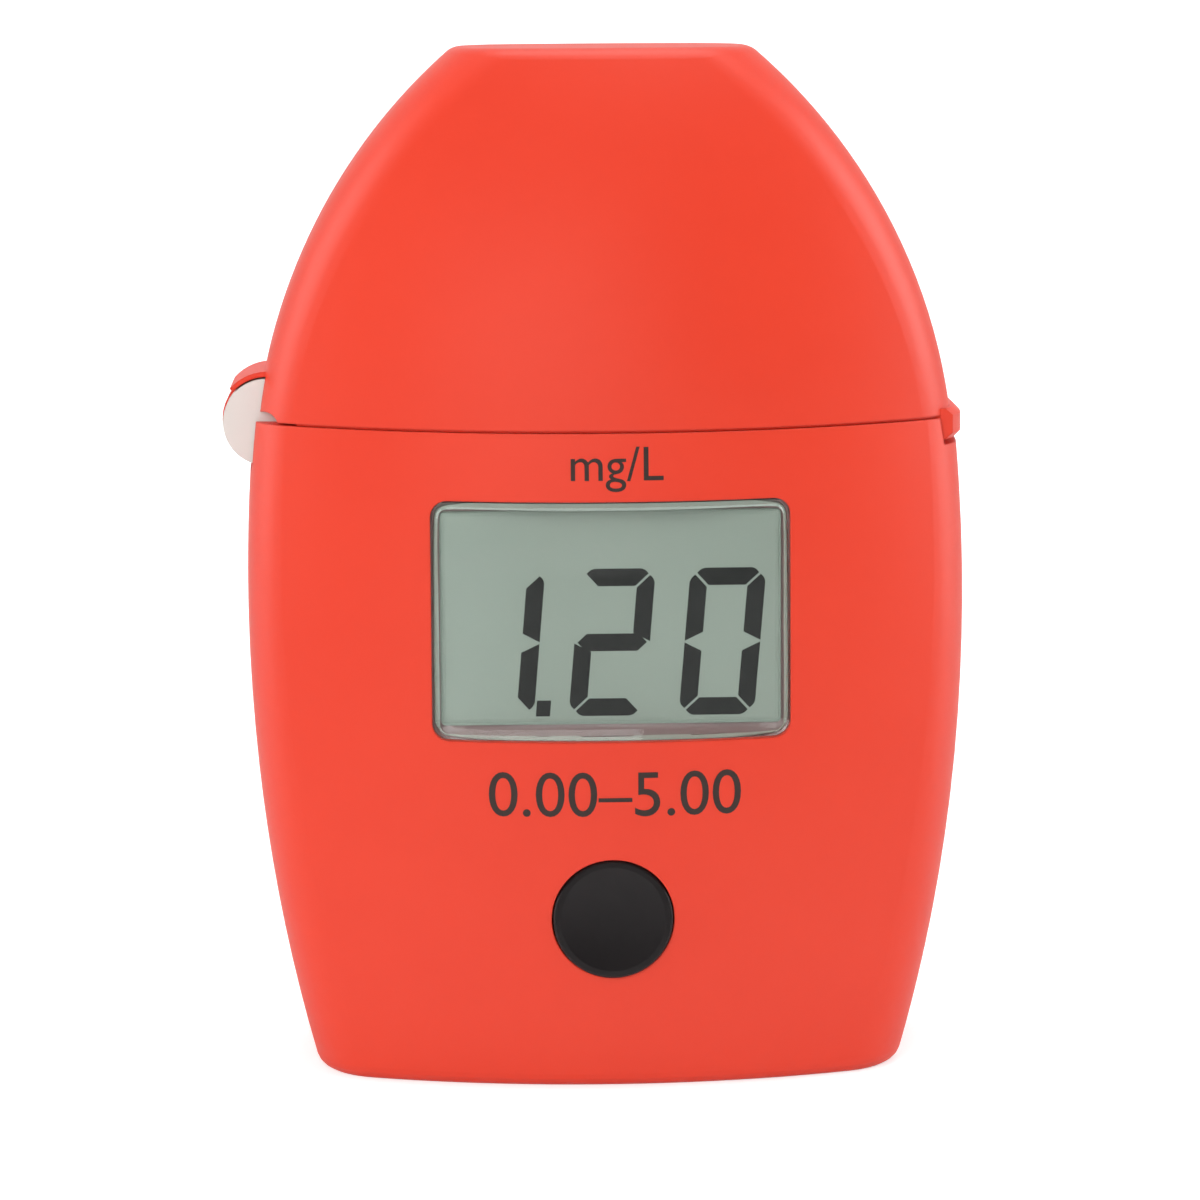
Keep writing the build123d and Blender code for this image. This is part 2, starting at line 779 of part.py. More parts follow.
def light_source():
    """Lamp of the light path: a domed body, a flange on the boss's end and two leads."""
    tip = well_outer + filter_thickness + 0.4
    base = optic_boss_reach + led_flange_thickness + seat_gap
    body = rod_x(led_radius, cuvette_y, beam_z, -base, -(tip + led_radius))
    body += Pos(-(tip + led_radius), cuvette_y, beam_z) * Sphere(led_radius)
    body += rod_x(led_flange_radius, cuvette_y, beam_z, -base, -(optic_boss_reach + seat_gap))
    return body + optic_leads(-1)


def light_detector():
    """Photodiode can on the far side of the well, on a flange with two leads."""
    base = optic_boss_reach + led_flange_thickness + seat_gap
    can = rod_x(diode_radius, cuvette_y, beam_z, base - led_flange_thickness - diode_length, base)
    can += rod_x(led_flange_radius, cuvette_y, beam_z, base - led_flange_thickness, base)
    return can + optic_leads(1)


def colour_filter():
    start = -(well_outer + filter_thickness + 0.1)
    return rod_x(optic_bore_radius - seat_gap, cuvette_y, beam_z, start, start + filter_thickness)


def board_screws():
    screws = [
        back_screw(
            x, z, board_back + board_screw_head_height, board_screw_length, board_screw_head,
            board_screw_head_height, board_screw_radius,
        )
        for x, z in board_screw_places()
    ]
    return Compound(children=screws)


def board_chips():
    """Controller, amplifier, crystal and a few passives on the back of the board, clear of the well."""
    thickness = {"controller": 1.0, "amplifier": 1.2, "crystal": 1.5, "passive": 0.6}
    places = [
        ("controller", -15.0, 14.5, 5.0, 5.0),
        ("amplifier", 15.5, 26.5, 4.0, 5.0),
        ("crystal", -14.8, 20.6, 5.0, 2.0),
        ("passive", 13.6, 15.0, 1.2, 2.0),
        ("passive", 16.2, 15.0, 1.2, 2.0),
        ("passive", 15.0, 19.0, 2.0, 1.2),
    ]
    chips = [
        block(
            (x - wide / 2, x + wide / 2),
            (board_back, board_back + thickness[name]),
            (z - tall / 2, z + tall / 2),
        )
        for name, x, z, wide, tall in places
    ]
    return Compound(children=chips)


def tact_switch():
    """Push switch on the front of the board, bored for its plunger."""
    half = switch_size / 2
    body = block(
        (-half, half), (board_front - switch_height, board_front), (button_z - half, button_z + half)
    )
    depth = plunger_reach + button_travel + seat_gap
    top = board_front - switch_height
    return body - rod_y(plunger_radius + seat_gap, 0, button_z, top, top + depth)


def button_back():
    return button_collar_end + seat_gap * 2 + button_flange_thickness


def switch_plunger():
    return rod_y(
        plunger_radius, 0, button_z, button_back() + seat_gap / 2, board_front - switch_height + plunger_reach
    )


def button_cap():
    """Round dished key, kept in by a flange behind the shell's collar."""
    front = -(case_half_depth(button_z) + button_proud)
    cap = rod_y(button_radius, 0, button_z, front, button_back())
    cap = chamfer(cap.edges().group_by(Axis.Y)[0], button_proud)
    cap += rod_y(
        button_flange_radius, 0, button_z, button_back() - button_flange_thickness, button_back()
    )
    dish = Pos(0, front + button_dish_depth - button_dish_radius, button_z) * Sphere(button_dish_radius)
    cap -= dish
    return cap


def battery_cell():
    """Cylindrical cell lying across the base, its nub to the right."""
    start, end = cell_x - cell_length / 2, cell_x + cell_length / 2
    body = rod_x(cell_radius, cell_y, cell_z, start, end)
    return body + rod_x(cell_nub_radius, cell_y, cell_z, end, end + cell_nub_height)


def cell_ends():
    """X of the two contact plates' inner faces, negative then positive."""
    left = cell_x - cell_length / 2 - spring_room
    right = cell_x + cell_length / 2 + cell_nub_height + seat_gap / 2
    return left, right


def battery_tray():
    """White trough open to the back, with an end wall behind each contact."""
    left, right = cell_ends()
    slot = contact_thickness + seat_gap
    front = cell_y - cell_radius - tray_gap - tray_wall
    back = cell_y + 3.6
    tray = block((left - slot - tray_wall, right + slot + tray_wall), (front, back), (floor_thickness, tray_top))
    bore = cell_radius + tray_gap
    room = rod_x(bore, cell_y, cell_z, left - slot, right + slot)
    room += block((left - slot, right + slot), (cell_y, back + 1), (cell_z - bore, cell_z + bore))
    tray -= room
    for edge, side in ((left, -1), (right, 1)):
        start, end = sorted((edge + side * -0.05, edge + side * slot))
        tray -= block((start, end), (front - 1, back + 1), (contact_low() - seat_gap, contact_high() + seat_gap))
    return tray & case_form(case_wall + seat_gap, floor_thickness, case_top, ruled=True)


def contact_low():
    return cell_z - contact_height / 2


def contact_high():
    return cell_z + contact_height / 2


def bent_strip(points):
    """A sheet-metal strip of the contact's thickness along points in plan, standing on edge."""
    line = Polyline(*points)
    face = trace(line, contact_thickness)
    return extrude(Pos(0, 0, contact_low()) * face, contact_height)


def positive_contact():
    x = cell_ends()[1] + contact_thickness / 2
    end_y = board_back + contact_thickness / 2 + seat_gap / 2
    return bent_strip(
        [(x, cell_y + 2.6), (x, cell_y - cell_radius - 1.8), (board_half_width - 0.6, end_y), (board_half_width - 3.2, end_y)]
    )


def negative_contact():
    """Plate with a leaf that presses on the cell's flat end, and an arm to the board."""
    x = cell_ends()[0] - contact_thickness / 2
    touch = cell_x - cell_length / 2 - contact_thickness / 2 - seat_gap / 2
    end_y = board_back + contact_thickness / 2 + seat_gap / 2
    arm = bent_strip(
        [(x, cell_y + 2.6), (x, cell_y - cell_radius - 1.8), (-board_half_width + 0.6, end_y), (-board_half_width + 3.2, end_y)]
    )
    leaf = bent_strip([(x, cell_y + 2.6), (touch, cell_y + 0.8), (touch, cell_y - 1.6), (x + 0.8, cell_y - 3.2)])
    return arm + leaf


def write(name, shape):
    export_step(shape, f"parts/{name}.step")


def main():
    os.makedirs("parts", exist_ok=True)
    shell = case_shell()
    pieces = {
        "front_shell": front_shell(shell),
        "back_shell": back_shell(shell),
        "case_screws": case_screws(),
        "battery_door": battery_door(),
        "battery_door_screw": battery_door_screw(),
        "optical_chassis": optical_chassis(),
        "hinge_pin": hinge_pin(),
        "display_window": display_window(),
        "display_glass": display_glass(),
        "display_frame": display_frame(),
        "zebra_strips": zebra_strips(),
        "circuit_board": circuit_board(),
        "board_screws": board_screws(),
        "board_chips": board_chips(),
        "tact_switch": tact_switch(),
        "light_source": light_source(),
        "colour_filter": colour_filter(),
        "light_detector": light_detector(),
        "battery_tray": battery_tray(),
        "battery_cell": battery_cell(),
        "positive_contact": positive_contact(),
        "negative_contact": negative_contact(),
        "lid_shell": lid_shell(),
        "lid_liner": lid_liner(),
        "lid_liner_screws": lid_liner_screws(),
        "light_seal": light_seal(),
        "button_cap": button_cap(),
        "switch_plunger": switch_plunger(),
        "cuvette_glass": cuvette_glass(),
        "cuvette_cap": cuvette_cap(),
        "cuvette_seal": cuvette_seal(),
    }
    for name, shape in pieces.items():
        write(name, shape)


main()
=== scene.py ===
import math
import bmesh
import bpy
from mathutils import Matrix, Vector


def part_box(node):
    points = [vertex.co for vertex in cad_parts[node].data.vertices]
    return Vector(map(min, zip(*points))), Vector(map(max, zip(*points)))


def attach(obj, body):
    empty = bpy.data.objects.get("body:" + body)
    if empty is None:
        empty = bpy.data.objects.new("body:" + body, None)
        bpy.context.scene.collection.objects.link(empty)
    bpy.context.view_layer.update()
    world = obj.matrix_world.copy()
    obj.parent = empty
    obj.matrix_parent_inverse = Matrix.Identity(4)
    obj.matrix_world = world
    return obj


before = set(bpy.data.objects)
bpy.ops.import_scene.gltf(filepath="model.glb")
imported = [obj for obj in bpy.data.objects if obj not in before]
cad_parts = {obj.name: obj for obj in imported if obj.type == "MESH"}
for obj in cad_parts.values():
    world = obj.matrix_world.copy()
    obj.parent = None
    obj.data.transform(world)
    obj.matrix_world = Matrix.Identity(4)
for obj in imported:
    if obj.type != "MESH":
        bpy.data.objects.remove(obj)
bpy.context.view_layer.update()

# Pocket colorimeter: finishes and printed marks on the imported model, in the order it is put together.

MM = 0.001


# Camera. The photograph was taken from a little above and a few degrees to the left, with a long lens.
# Its distance, height and turns were fitted to the meter's outline at its real height of 86 mm.
camera_distance = 400 * MM
camera_height = 96 * MM
camera_side = math.radians(2.0)
camera_pan = math.radians(1.95)
camera_dip = math.radians(8.12)
camera_roll = math.radians(0.34)
sensor_width = 36.0
focal_length = 141.87

camera_data = bpy.data.cameras.new("photo_camera")
camera_data.sensor_width = sensor_width
camera_data.lens = focal_length
camera_data.clip_start = 0.01
camera = bpy.data.objects.new("photo_camera", camera_data)
bpy.context.scene.collection.objects.link(camera)
place = Vector((
    -camera_distance * math.sin(camera_side),
    -camera_distance * math.cos(camera_side),
    camera_height,
))
ahead = Vector((
    math.sin(camera_pan) * math.cos(camera_dip),
    math.cos(camera_pan) * math.cos(camera_dip),
    -math.sin(camera_dip),
))
level = Vector((math.cos(camera_pan), -math.sin(camera_pan), 0))
upward = level.cross(ahead)
right = level * math.cos(camera_roll) - upward * math.sin(camera_roll)
up = level * math.sin(camera_roll) + upward * math.cos(camera_roll)
camera.matrix_world = Matrix((
    (right.x, up.x, -ahead.x, place.x),
    (right.y, up.y, -ahead.y, place.y),
    (right.z, up.z, -ahead.z, place.z),
    (0, 0, 0, 1),
))
bpy.context.scene.camera = camera
bpy.context.scene.view_settings.view_transform = "Standard"


# Floor. A white table that runs back into a white wall, as in a studio sweep. It is white to the camera and
# keeps the soft shadow. In reflections its front is painted grey, a painted dark reflection with nothing
# dark standing there.
def linear(code, alpha=1.0):
    """An sRGB hex colour as linear red, green, blue and alpha."""
    parts = [int(code[i : i + 2], 16) / 255 for i in (0, 2, 4)]
    curve = [c / 12.92 if c <= 0.04045 else ((c + 0.055) / 1.055) ** 2.4 for c in parts]
    return (*curve, alpha)


def add_node(tree, kind, settings=(), links=()):
    """Adds a node, gives its sockets and properties their settings, and links sockets into it."""
    node = tree.nodes.new(kind)
    for name, value in dict(settings).items():
        if isinstance(name, int) or name in node.inputs:
            node.inputs[name].default_value = value
        else:
            setattr(node, name, value)
    for name, socket in dict(links).items():
        tree.links.new(socket, node.inputs[name])
    return node


def new_material(name):
    """An empty node material and its tree."""
    material = bpy.data.materials.new(name)
    material.use_nodes = True
    material.node_tree.nodes.clear()
    return material, material.node_tree


sweep_half = 2.5
sweep_front = -2.5
sweep_back = 0.9
sweep_radius = 0.5
sweep_height = 2.4
sweep_lift = 0.5

bpy.ops.object.select_all(action="DESELECT")
bpy.ops.mesh.primitive_plane_add(size=1)
sweep = bpy.context.object
sweep.name = "studio_sweep"
sweep.data.transform(Matrix.Diagonal((2 * sweep_half, sweep_back - sweep_front, 1, 1)))
sweep.data.transform(Matrix.Translation((0, (sweep_back + sweep_front) / 2, 0)))
bpy.ops.object.mode_set(mode="EDIT")
edit = bmesh.from_edit_mesh(sweep.data)
for edge in edit.edges:
    edge.select = all(v.co.y > sweep_back - 0.001 for v in edge.verts)
edit.select_flush(True)
bmesh.update_edit_mesh(sweep.data)
bpy.ops.mesh.extrude_region_move(TRANSFORM_OT_translate={"value": (0, 0, sweep_height)})
edit = bmesh.from_edit_mesh(sweep.data)
for edge in edit.edges:
    edge.select = all(v.co.y > sweep_back - 0.001 and v.co.z < 0.001 for v in edge.verts)
bmesh.update_edit_mesh(sweep.data)
bpy.ops.mesh.bevel(offset=sweep_radius, segments=16, affect="EDGES")
bpy.ops.object.mode_set(mode="OBJECT")
bpy.ops.object.shade_smooth()
material, tree = new_material("white_sweep")
rays = add_node(tree, "ShaderNodeLightPath")
seen = add_node(
    tree, "ShaderNodeMath", {"operation": "MAXIMUM"},
    {0: rays.outputs["Is Camera Ray"], 1: rays.outputs["Is Transmission Ray"]},
)
lift = add_node(tree, "ShaderNodeMath", {"operation": "MULTIPLY", 1: sweep_lift}, {0: seen.outputs[0]})
coords = add_node(tree, "ShaderNodeTexCoord")
on_floor = add_node(tree, "ShaderNodeSeparateXYZ", {}, {0: coords.outputs["Object"]})
# Only reflections see the floor's front as dark grey: a painted dark reflection on a floor that is really
# white.
dark_reflection_mask = add_node(
    tree, "ShaderNodeMapRange", {"From Min": -0.02, "From Max": -0.1}, {"Value": on_floor.outputs["Y"]}
)
painted_dark_reflection = add_node(
    tree, "ShaderNodeMath", {"operation": "MULTIPLY"},
    {0: dark_reflection_mask.outputs["Result"], 1: rays.outputs["Is Glossy Ray"]},
)
floor_and_dark_reflection = add_node(
    tree, "ShaderNodeMix", {"data_type": "RGBA", 6: (0.82, 0.82, 0.82, 1), 7: (0.28, 0.28, 0.28, 1)},
    {0: painted_dark_reflection.outputs[0]},
)
matte = add_node(tree, "ShaderNodeBsdfDiffuse", {}, {"Color": floor_and_dark_reflection.outputs[2]})
glow = add_node(tree, "ShaderNodeEmission", {"Color": (1, 1, 1, 1)}, {"Strength": lift.outputs[0]})
both = add_node(tree, "ShaderNodeAddShader", {}, {0: matte.outputs[0], 1: glow.outputs[0]})
add_node(tree, "ShaderNodeOutputMaterial", {}, {"Surface": both.outputs[0]})
sweep.data.materials.append(material)


# Light. A large soft box in front and above, behind a cloth that leaves no highlight, one overhead that
# whitens the lid's crown, and two tall ones beside the meter that edge its sides. The room is white where
# the camera and the shadows see it. In reflections alone it is dim in front and bright overhead: a painted
# reflection that lights nothing and adds a painted highlight on the lid's crown.
def soft_box(name, place, aim, width, tall, watts, mirrored=True):
    """A rectangular area lamp at place that faces aim, in metres; glossy surfaces mirror it or don't."""
    data = bpy.data.lights.new(name, "AREA")
    data.shape = "RECTANGLE"
    data.size = width
    data.size_y = tall
    data.energy = watts
    lamp = bpy.data.objects.new(name, data)
    bpy.context.scene.collection.objects.link(lamp)
    lamp.location = place
    lamp.visible_glossy = mirrored
    lamp.rotation_euler = (Vector(aim) - Vector(place)).to_track_quat("-Z", "Y").to_euler()


middle = (0, 0, 0.045)
soft_box("front_box", (-0.3, -1.15, 0.38), middle, 1.0, 0.7, 8.4, mirrored=False)
soft_box("overhead_box", (0.1, 0.1, 1.1), middle, 1.0, 0.8, 6.0)
soft_box("left_box", (-1.0, 0.15, 0.35), middle, 0.6, 1.0, 4.5)
soft_box("right_box", (1.0, 0.15, 0.35), middle, 0.6, 1.0, 6.5)

room_strength = 0.45
painted_front_reflection = 0.07
painted_overhead_reflection = 4.0
world = bpy.data.worlds.new("white_room")
bpy.context.scene.world = world
world.use_nodes = True
tree = world.node_tree
tree.nodes.clear()
rays = add_node(tree, "ShaderNodeLightPath")
seen = add_node(
    tree, "ShaderNodeMath", {"operation": "MAXIMUM"},
    {0: rays.outputs["Is Camera Ray"], 1: rays.outputs["Is Transmission Ray"]},
)
coords = add_node(tree, "ShaderNodeTexCoord")
direction = add_node(tree, "ShaderNodeSeparateXYZ", {}, {0: coords.outputs["Generated"]})
# Glossy rays alone see this gradient, up to four times white overhead: a painted reflection with no matching
# light on diffuse surfaces.
painted_sky_reflection = add_node(
    tree, "ShaderNodeMapRange",
    {"From Min": 0.35, "From Max": 0.85, "To Min": painted_front_reflection, "To Max": painted_overhead_reflection},
    {"Value": direction.outputs["Z"]},
)
dim = add_node(
    tree, "ShaderNodeMix", {"data_type": "FLOAT", 2: room_strength},
    {0: rays.outputs["Is Glossy Ray"], 3: painted_sky_reflection.outputs["Result"]},
)
room = add_node(
    tree, "ShaderNodeMix", {"data_type": "FLOAT", 3: 1.0}, {0: seen.outputs[0], 2: dim.outputs[0]}
)
air = add_node(tree, "ShaderNodeBackground", {"Color": (1, 1, 1, 1)}, {"Strength": room.outputs[0]})
add_node(tree, "ShaderNodeOutputWorld", {}, {"Surface": air.outputs[0]})


# Case: front and back shells, lid and cell door. All four are injection-moulded ABS, self-coloured
# orange-red, with a fine spark-eroded texture that spreads highlights into a satin sheen.
shell_colour = "F04126"
shell_shade = "EA3B22"
spark_grain = 0.35
spark_depth = 0.006
flow_size = 14.0
edge_softness = 0.22


def dress(names, material):
    """Gives every named sub-part of the model this finish."""
    for name in names:
        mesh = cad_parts[name].data
        mesh.materials.clear()
        mesh.materials.append(material)


def moulded_plastic(name, colour, shade, grain, depth, roughness, gloss_index=1.53):
    """Injection-moulded plastic: two close tones in slow flow marks, and its mould's fine grain, in mm."""
    material, tree = new_material(name)
    coords = add_node(tree, "ShaderNodeTexCoord")
    flow = add_node(
        tree, "ShaderNodeTexNoise", {"Scale": 1 / (flow_size * MM), "Detail": 3.0, "Roughness": 0.55},
        {"Vector": coords.outputs["Object"]},
    )
    tone = add_node(
        tree, "ShaderNodeMix", {"data_type": "RGBA", 6: linear(colour), 7: linear(shade)},
        {0: flow.outputs["Fac"]},
    )
    spark = add_node(
        tree, "ShaderNodeTexNoise", {"Scale": 1 / (grain * MM), "Detail": 2.0, "Roughness": 0.6},
        {"Vector": coords.outputs["Object"]},
    )
    rough = add_node(
        tree, "ShaderNodeMapRange", {"To Min": roughness - 0.04, "To Max": roughness + 0.05},
        {"Value": spark.outputs["Fac"]},
    )
    rounded = add_node(tree, "ShaderNodeBevel", {"samples": 4, "Radius": edge_softness * MM})
    relief = add_node(
        tree, "ShaderNodeBump", {"Strength": 1.0, "Distance": depth * MM},
        {"Height": spark.outputs["Fac"], "Normal": rounded.outputs["Normal"]},
    )
    surface = add_node(
        tree, "ShaderNodeBsdfPrincipled", {"IOR": gloss_index},
        {
            "Base Color": tone.outputs[2],
            "Roughness": rough.outputs["Result"],
            "Normal": relief.outputs["Normal"],
        },
    )
    add_node(tree, "ShaderNodeOutputMaterial", {}, {"Surface": surface.outputs[0]})
    return material


red_abs = moulded_plastic("orange_red_abs", shell_colour, shell_shade, spark_grain, spark_depth, 0.42)
dress(["front_shell", "back_shell", "lid_shell", "battery_door"], red_abs)


# White inner mouldings: the deck with its well and hinge knuckles, the lid's liner, the cell tray and the
# display's holder. Unpainted white ABS, smoother than the case, with a warm grey cast.
white_abs = moulded_plastic("warm_white_abs", "EAE4DE", "E2DCD6", 0.5, 0.003, 0.38)
dress(["optical_chassis", "lid_liner", "battery_tray", "display_frame"], white_abs)


# Screws and the hinge pin. Zinc-plated steel screws with the fine rings of turning on their heads, and a
# ground pin. The rings are drawn ten times as coarse as real ones so that they show.
def turned_steel(name, colour, ring, roughness):
    """Machined steel with fine rings across Y, ring mm apart."""
    material, tree = new_material(name)
    coords = add_node(tree, "ShaderNodeTexCoord")
    rings = add_node(
        tree, "ShaderNodeTexWave",
        {
            "wave_type": "RINGS", "rings_direction": "Y",
            "Scale": 1 / (ring * MM) / 20, "Distortion": 1.5,
        },
        {"Vector": coords.outputs["Object"]},
    )
    rough = add_node(
        tree, "ShaderNodeMapRange", {"To Min": roughness - 0.06, "To Max": roughness + 0.08},
        {"Value": rings.outputs["Fac"]},
    )
    relief = add_node(
        tree, "ShaderNodeBump", {"Strength": 0.3, "Distance": 0.002 * MM}, {"Height": rings.outputs["Fac"]}
    )
    surface = add_node(
        tree, "ShaderNodeBsdfPrincipled", {"Base Color": linear(colour), "Metallic": 1.0},
        {"Roughness": rough.outputs["Result"], "Normal": relief.outputs["Normal"]},
    )
    add_node(tree, "ShaderNodeOutputMaterial", {}, {"Surface": surface.outputs[0]})
    return material


screw_steel = turned_steel("zinc_plated_steel", "C9CACC", 0.4, 0.32)
pin_steel = turned_steel("ground_steel", "D2D2D4", 0.2, 0.22)
contact_steel = turned_steel("nickel_plated_strip", "D8D4CA", 0.8, 0.28)
dress(["case_screws", "battery_door_screw", "lid_liner_screws", "board_screws"], screw_steel)
dress(["hinge_pin"], pin_steel)
dress(["positive_contact", "negative_contact"], contact_steel)


# Display. A twisted-nematic glass: grey-green behind, with a film polariser on its front and black digits.
# The polariser is a die-cut sheet that lies on the glass, 0.2 mm thick with a soft cut edge.
glass_low, glass_high = (Vector(corner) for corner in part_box("display_glass"))
film_margin_x = 0.85 * MM
film_margin_z = 1.95 * MM
film_thickness = 0.18 * MM
film_corner = 0.4 * MM
film_front = glass_low.y - film_thickness

# Width of the painted light along the film's left edge.
left_light_fade = 9 * MM
mottle_size = 1.2


def plain_material(name, colour, roughness, metallic=0.0, **more):
    """A principled surface with one colour, for pieces whose pattern comes from their shape."""
    material, tree = new_material(name)
    coords = add_node(tree, "ShaderNodeTexCoord")
    mottle = add_node(
        tree, "ShaderNodeTexNoise", {"Scale": 1 / (mottle_size * MM), "Detail": 2.0},
        {"Vector": coords.outputs["Object"]},
    )
    rough = add_node(
        tree, "ShaderNodeMapRange", {"To Min": roughness - 0.05, "To Max": roughness + 0.05},
        {"Value": mottle.outputs["Fac"]},
    )
    settings = {"Base Color": linear(colour), "Metallic": metallic}
    settings.update(more)
    surface = add_node(tree, "ShaderNodeBsdfPrincipled", settings, {"Roughness": rough.outputs["Result"]})
    add_node(tree, "ShaderNodeOutputMaterial", {}, {"Surface": surface.outputs[0]})
    return material


def start_box(name, low, high):
    """Adds a box between two corners, named, alone in the selection."""
    bpy.ops.object.select_all(action="DESELECT")
    bpy.ops.mesh.primitive_cube_add(size=1)
    piece = bpy.context.object
    piece.name = name
    size = Vector(high) - Vector(low)
    piece.data.transform(Matrix.Diagonal((*size, 1)))
    piece.data.transform(Matrix.Translation((Vector(high) + Vector(low)) / 2))
    return piece


def select_edges(piece, wanted):
    """In edit mode, selects the edges for which wanted(first corner, second corner) is true."""
    edit = bmesh.from_edit_mesh(piece.data)
    for part in (*edit.verts, *edit.edges, *edit.faces):
        part.select = False
    for edge in edit.edges:
        if wanted(edge.verts[0].co, edge.verts[1].co):
            edge.select = True
    edit.select_flush(True)
    bmesh.update_edit_mesh(piece.data)


film = start_box(
    "display_film",
    (glass_low.x + film_margin_x, film_front, glass_low.z + film_margin_z),
    (glass_high.x - film_margin_x, glass_low.y, glass_high.z - film_margin_z),
)
bpy.ops.object.mode_set(mode="EDIT")
select_edges(film, lambda a, b: abs(a.y - b.y) > 0.5 * film_thickness)
bpy.ops.mesh.bevel(offset=film_corner, segments=4, affect="EDGES")
select_edges(film, lambda a, b: max(a.y, b.y) < film_front + 0.1 * film_thickness)
bpy.ops.mesh.bevel(offset=0.3 * film_thickness, segments=2, affect="EDGES")
bpy.ops.object.mode_set(mode="OBJECT")
material, tree = new_material("grey_green_polariser")
coords = add_node(tree, "ShaderNodeTexCoord")
place_along = add_node(tree, "ShaderNodeSeparateXYZ", {}, {0: coords.outputs["Object"]})
# The film is painted lighter along its left edge and fades to its plain tone over 9 mm: a painted pool of
# light from the lamps on the left.
left_light_share = add_node(
    tree, "ShaderNodeMapRange", {"From Min": glass_low.x, "From Max": glass_low.x + left_light_fade},
    {"Value": place_along.outputs["X"]},
)
tone = add_node(
    tree, "ShaderNodeMix", {"data_type": "RGBA", 6: linear("98A59C"), 7: linear("929E95")},
    {0: left_light_share.outputs["Result"]},
)
film_surface = add_node(
    tree, "ShaderNodeBsdfPrincipled", {"Roughness": 0.5, "Specular IOR Level": 0.2},
    {"Base Color": tone.outputs[2]},
)
add_node(tree, "ShaderNodeOutputMaterial", {}, {"Surface": film_surface.outputs[0]})
film.data.materials.append(material)
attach(film, "case")
dress(["display_glass"], plain_material("display_glass_body", "8C7776", 0.12, IOR=1.52))


# Digits. Seven-segment figures etched in the display's electrode, black where they are driven. Each segment
# is a thin bar with mitred ends; the outer corners of a figure are cut round. They read 1.20.
digit_height = 12.2
digit_width = 6.15
digit_pitch = 8.98
segment_width = 1.43
segment_gap = 0.2
digit_corner = 1.15
round_slope = 0.42
digit_lean = 0.084
digit_base_z = 31.45
last_digit_x = 9.1
point_width = 1.15
point_height = 1.3
point_x = -5.05
ink_depth = 0.03


def cut(piece, point, normal):
    """In edit mode, cuts away what lies on the normal's side of a plane, in figure millimetres."""
    bpy.ops.mesh.select_all(action="SELECT")
    bpy.ops.mesh.bisect(
        plane_co=(point[0] * MM, 0, point[1] * MM), plane_no=(normal[0], 0, normal[1]),
        use_fill=True, clear_outer=True, threshold=1e-7,
    )


def segment(name, low, high, cuts):
    """One bar of a figure in upright figure coordinates, cut by planes given as (point, normal)."""
    piece = start_box(name, (low[0] * MM, -ink_depth * MM, low[1] * MM), (high[0] * MM, 0, high[1] * MM))
    bpy.ops.object.mode_set(mode="EDIT")
    for point, normal in cuts:
        cut(piece, point, normal)
    bpy.ops.object.mode_set(mode="OBJECT")
    return piece


def figure_bars(letters):
    """The bars of one figure, each as (low corner, high corner, cuts).

    They are named as on a data sheet: a top, b and c right, d bottom, e and f left, g middle.
    """
    wide, tall, thick, gap = digit_width, digit_height, segment_width, segment_gap
    half = tall / 2
    slip = gap * 0.71
    corner = digit_corner
    tip = gap * 1.3
    blunt = 0.01
    bars = {
        "a": (
            (slip, tall - thick), (wide - slip, tall),
            [((slip, tall), (-1, -1)), ((wide - slip, tall), (1, -1))],
        ),
        "d": (
            (slip, 0), (wide - slip, thick),
            [((slip, 0), (-1, 1)), ((wide - slip, 0), (1, 1))],
        ),
        "f": (
            (0, half), (thick, tall),
            [((0, tall - slip), (1, 1)), ((0, half + slip / 2), (0.5, -1))],
        ),
        "b": (
            (wide - thick, half), (wide, tall),
            [((wide, tall - slip), (-1, 1)), ((wide, half + slip / 2), (-0.5, -1))],
        ),
        "e": (
            (0, 0), (thick, half),
            [((0, slip), (1, -1)), ((0, half - slip / 2), (0.5, 1))],
        ),
        "c": (
            (wide - thick, 0), (wide, half),
            [((wide, slip), (-1, -1)), ((wide, half - slip / 2), (-0.5, 1))],
        ),
        "g": (
            (slip, half - thick / 2), (wide - slip, half + thick / 2),
            [
                ((tip, half + blunt), (-1, 2)),
                ((tip, half - blunt), (-1, -2)),
                ((wide - tip, half + blunt), (1, 2)),
                ((wide - tip, half - blunt), (1, -2)),
            ],
        ),
    }
    rounds = {"a": (1,), "d": (-1,), "f": (1,), "b": (1,), "e": (-1,), "c": (-1,)}
    made = []
    for letter in letters:
        low, high, cuts = bars[letter]
        cuts = list(cuts)
        for up_or_down in rounds.get(letter, ()):
            edge_z = tall if up_or_down > 0 else 0
            for side in (-1, 1):
                edge_x = wide if side > 0 else 0
                inner = corner * round_slope
                cuts.append(((edge_x - side * corner, edge_z), (side * round_slope, up_or_down)))
                cuts.append(((edge_x, edge_z - up_or_down * corner), (side, up_or_down * round_slope)))
                cuts.append(((edge_x - side * inner, edge_z - up_or_down * inner), (side, up_or_down)))
        made.append(segment("bar_" + letter, low, high, cuts))
    return made


def join_pieces(pieces, name):
    """Joins meshes into one piece."""
    bpy.ops.object.select_all(action="DESELECT")
    for piece in pieces:
        piece.select_set(True)
    bpy.context.view_layer.objects.active = pieces[0]
    bpy.ops.object.join()
    joined = bpy.context.object
    joined.name = name
    return joined


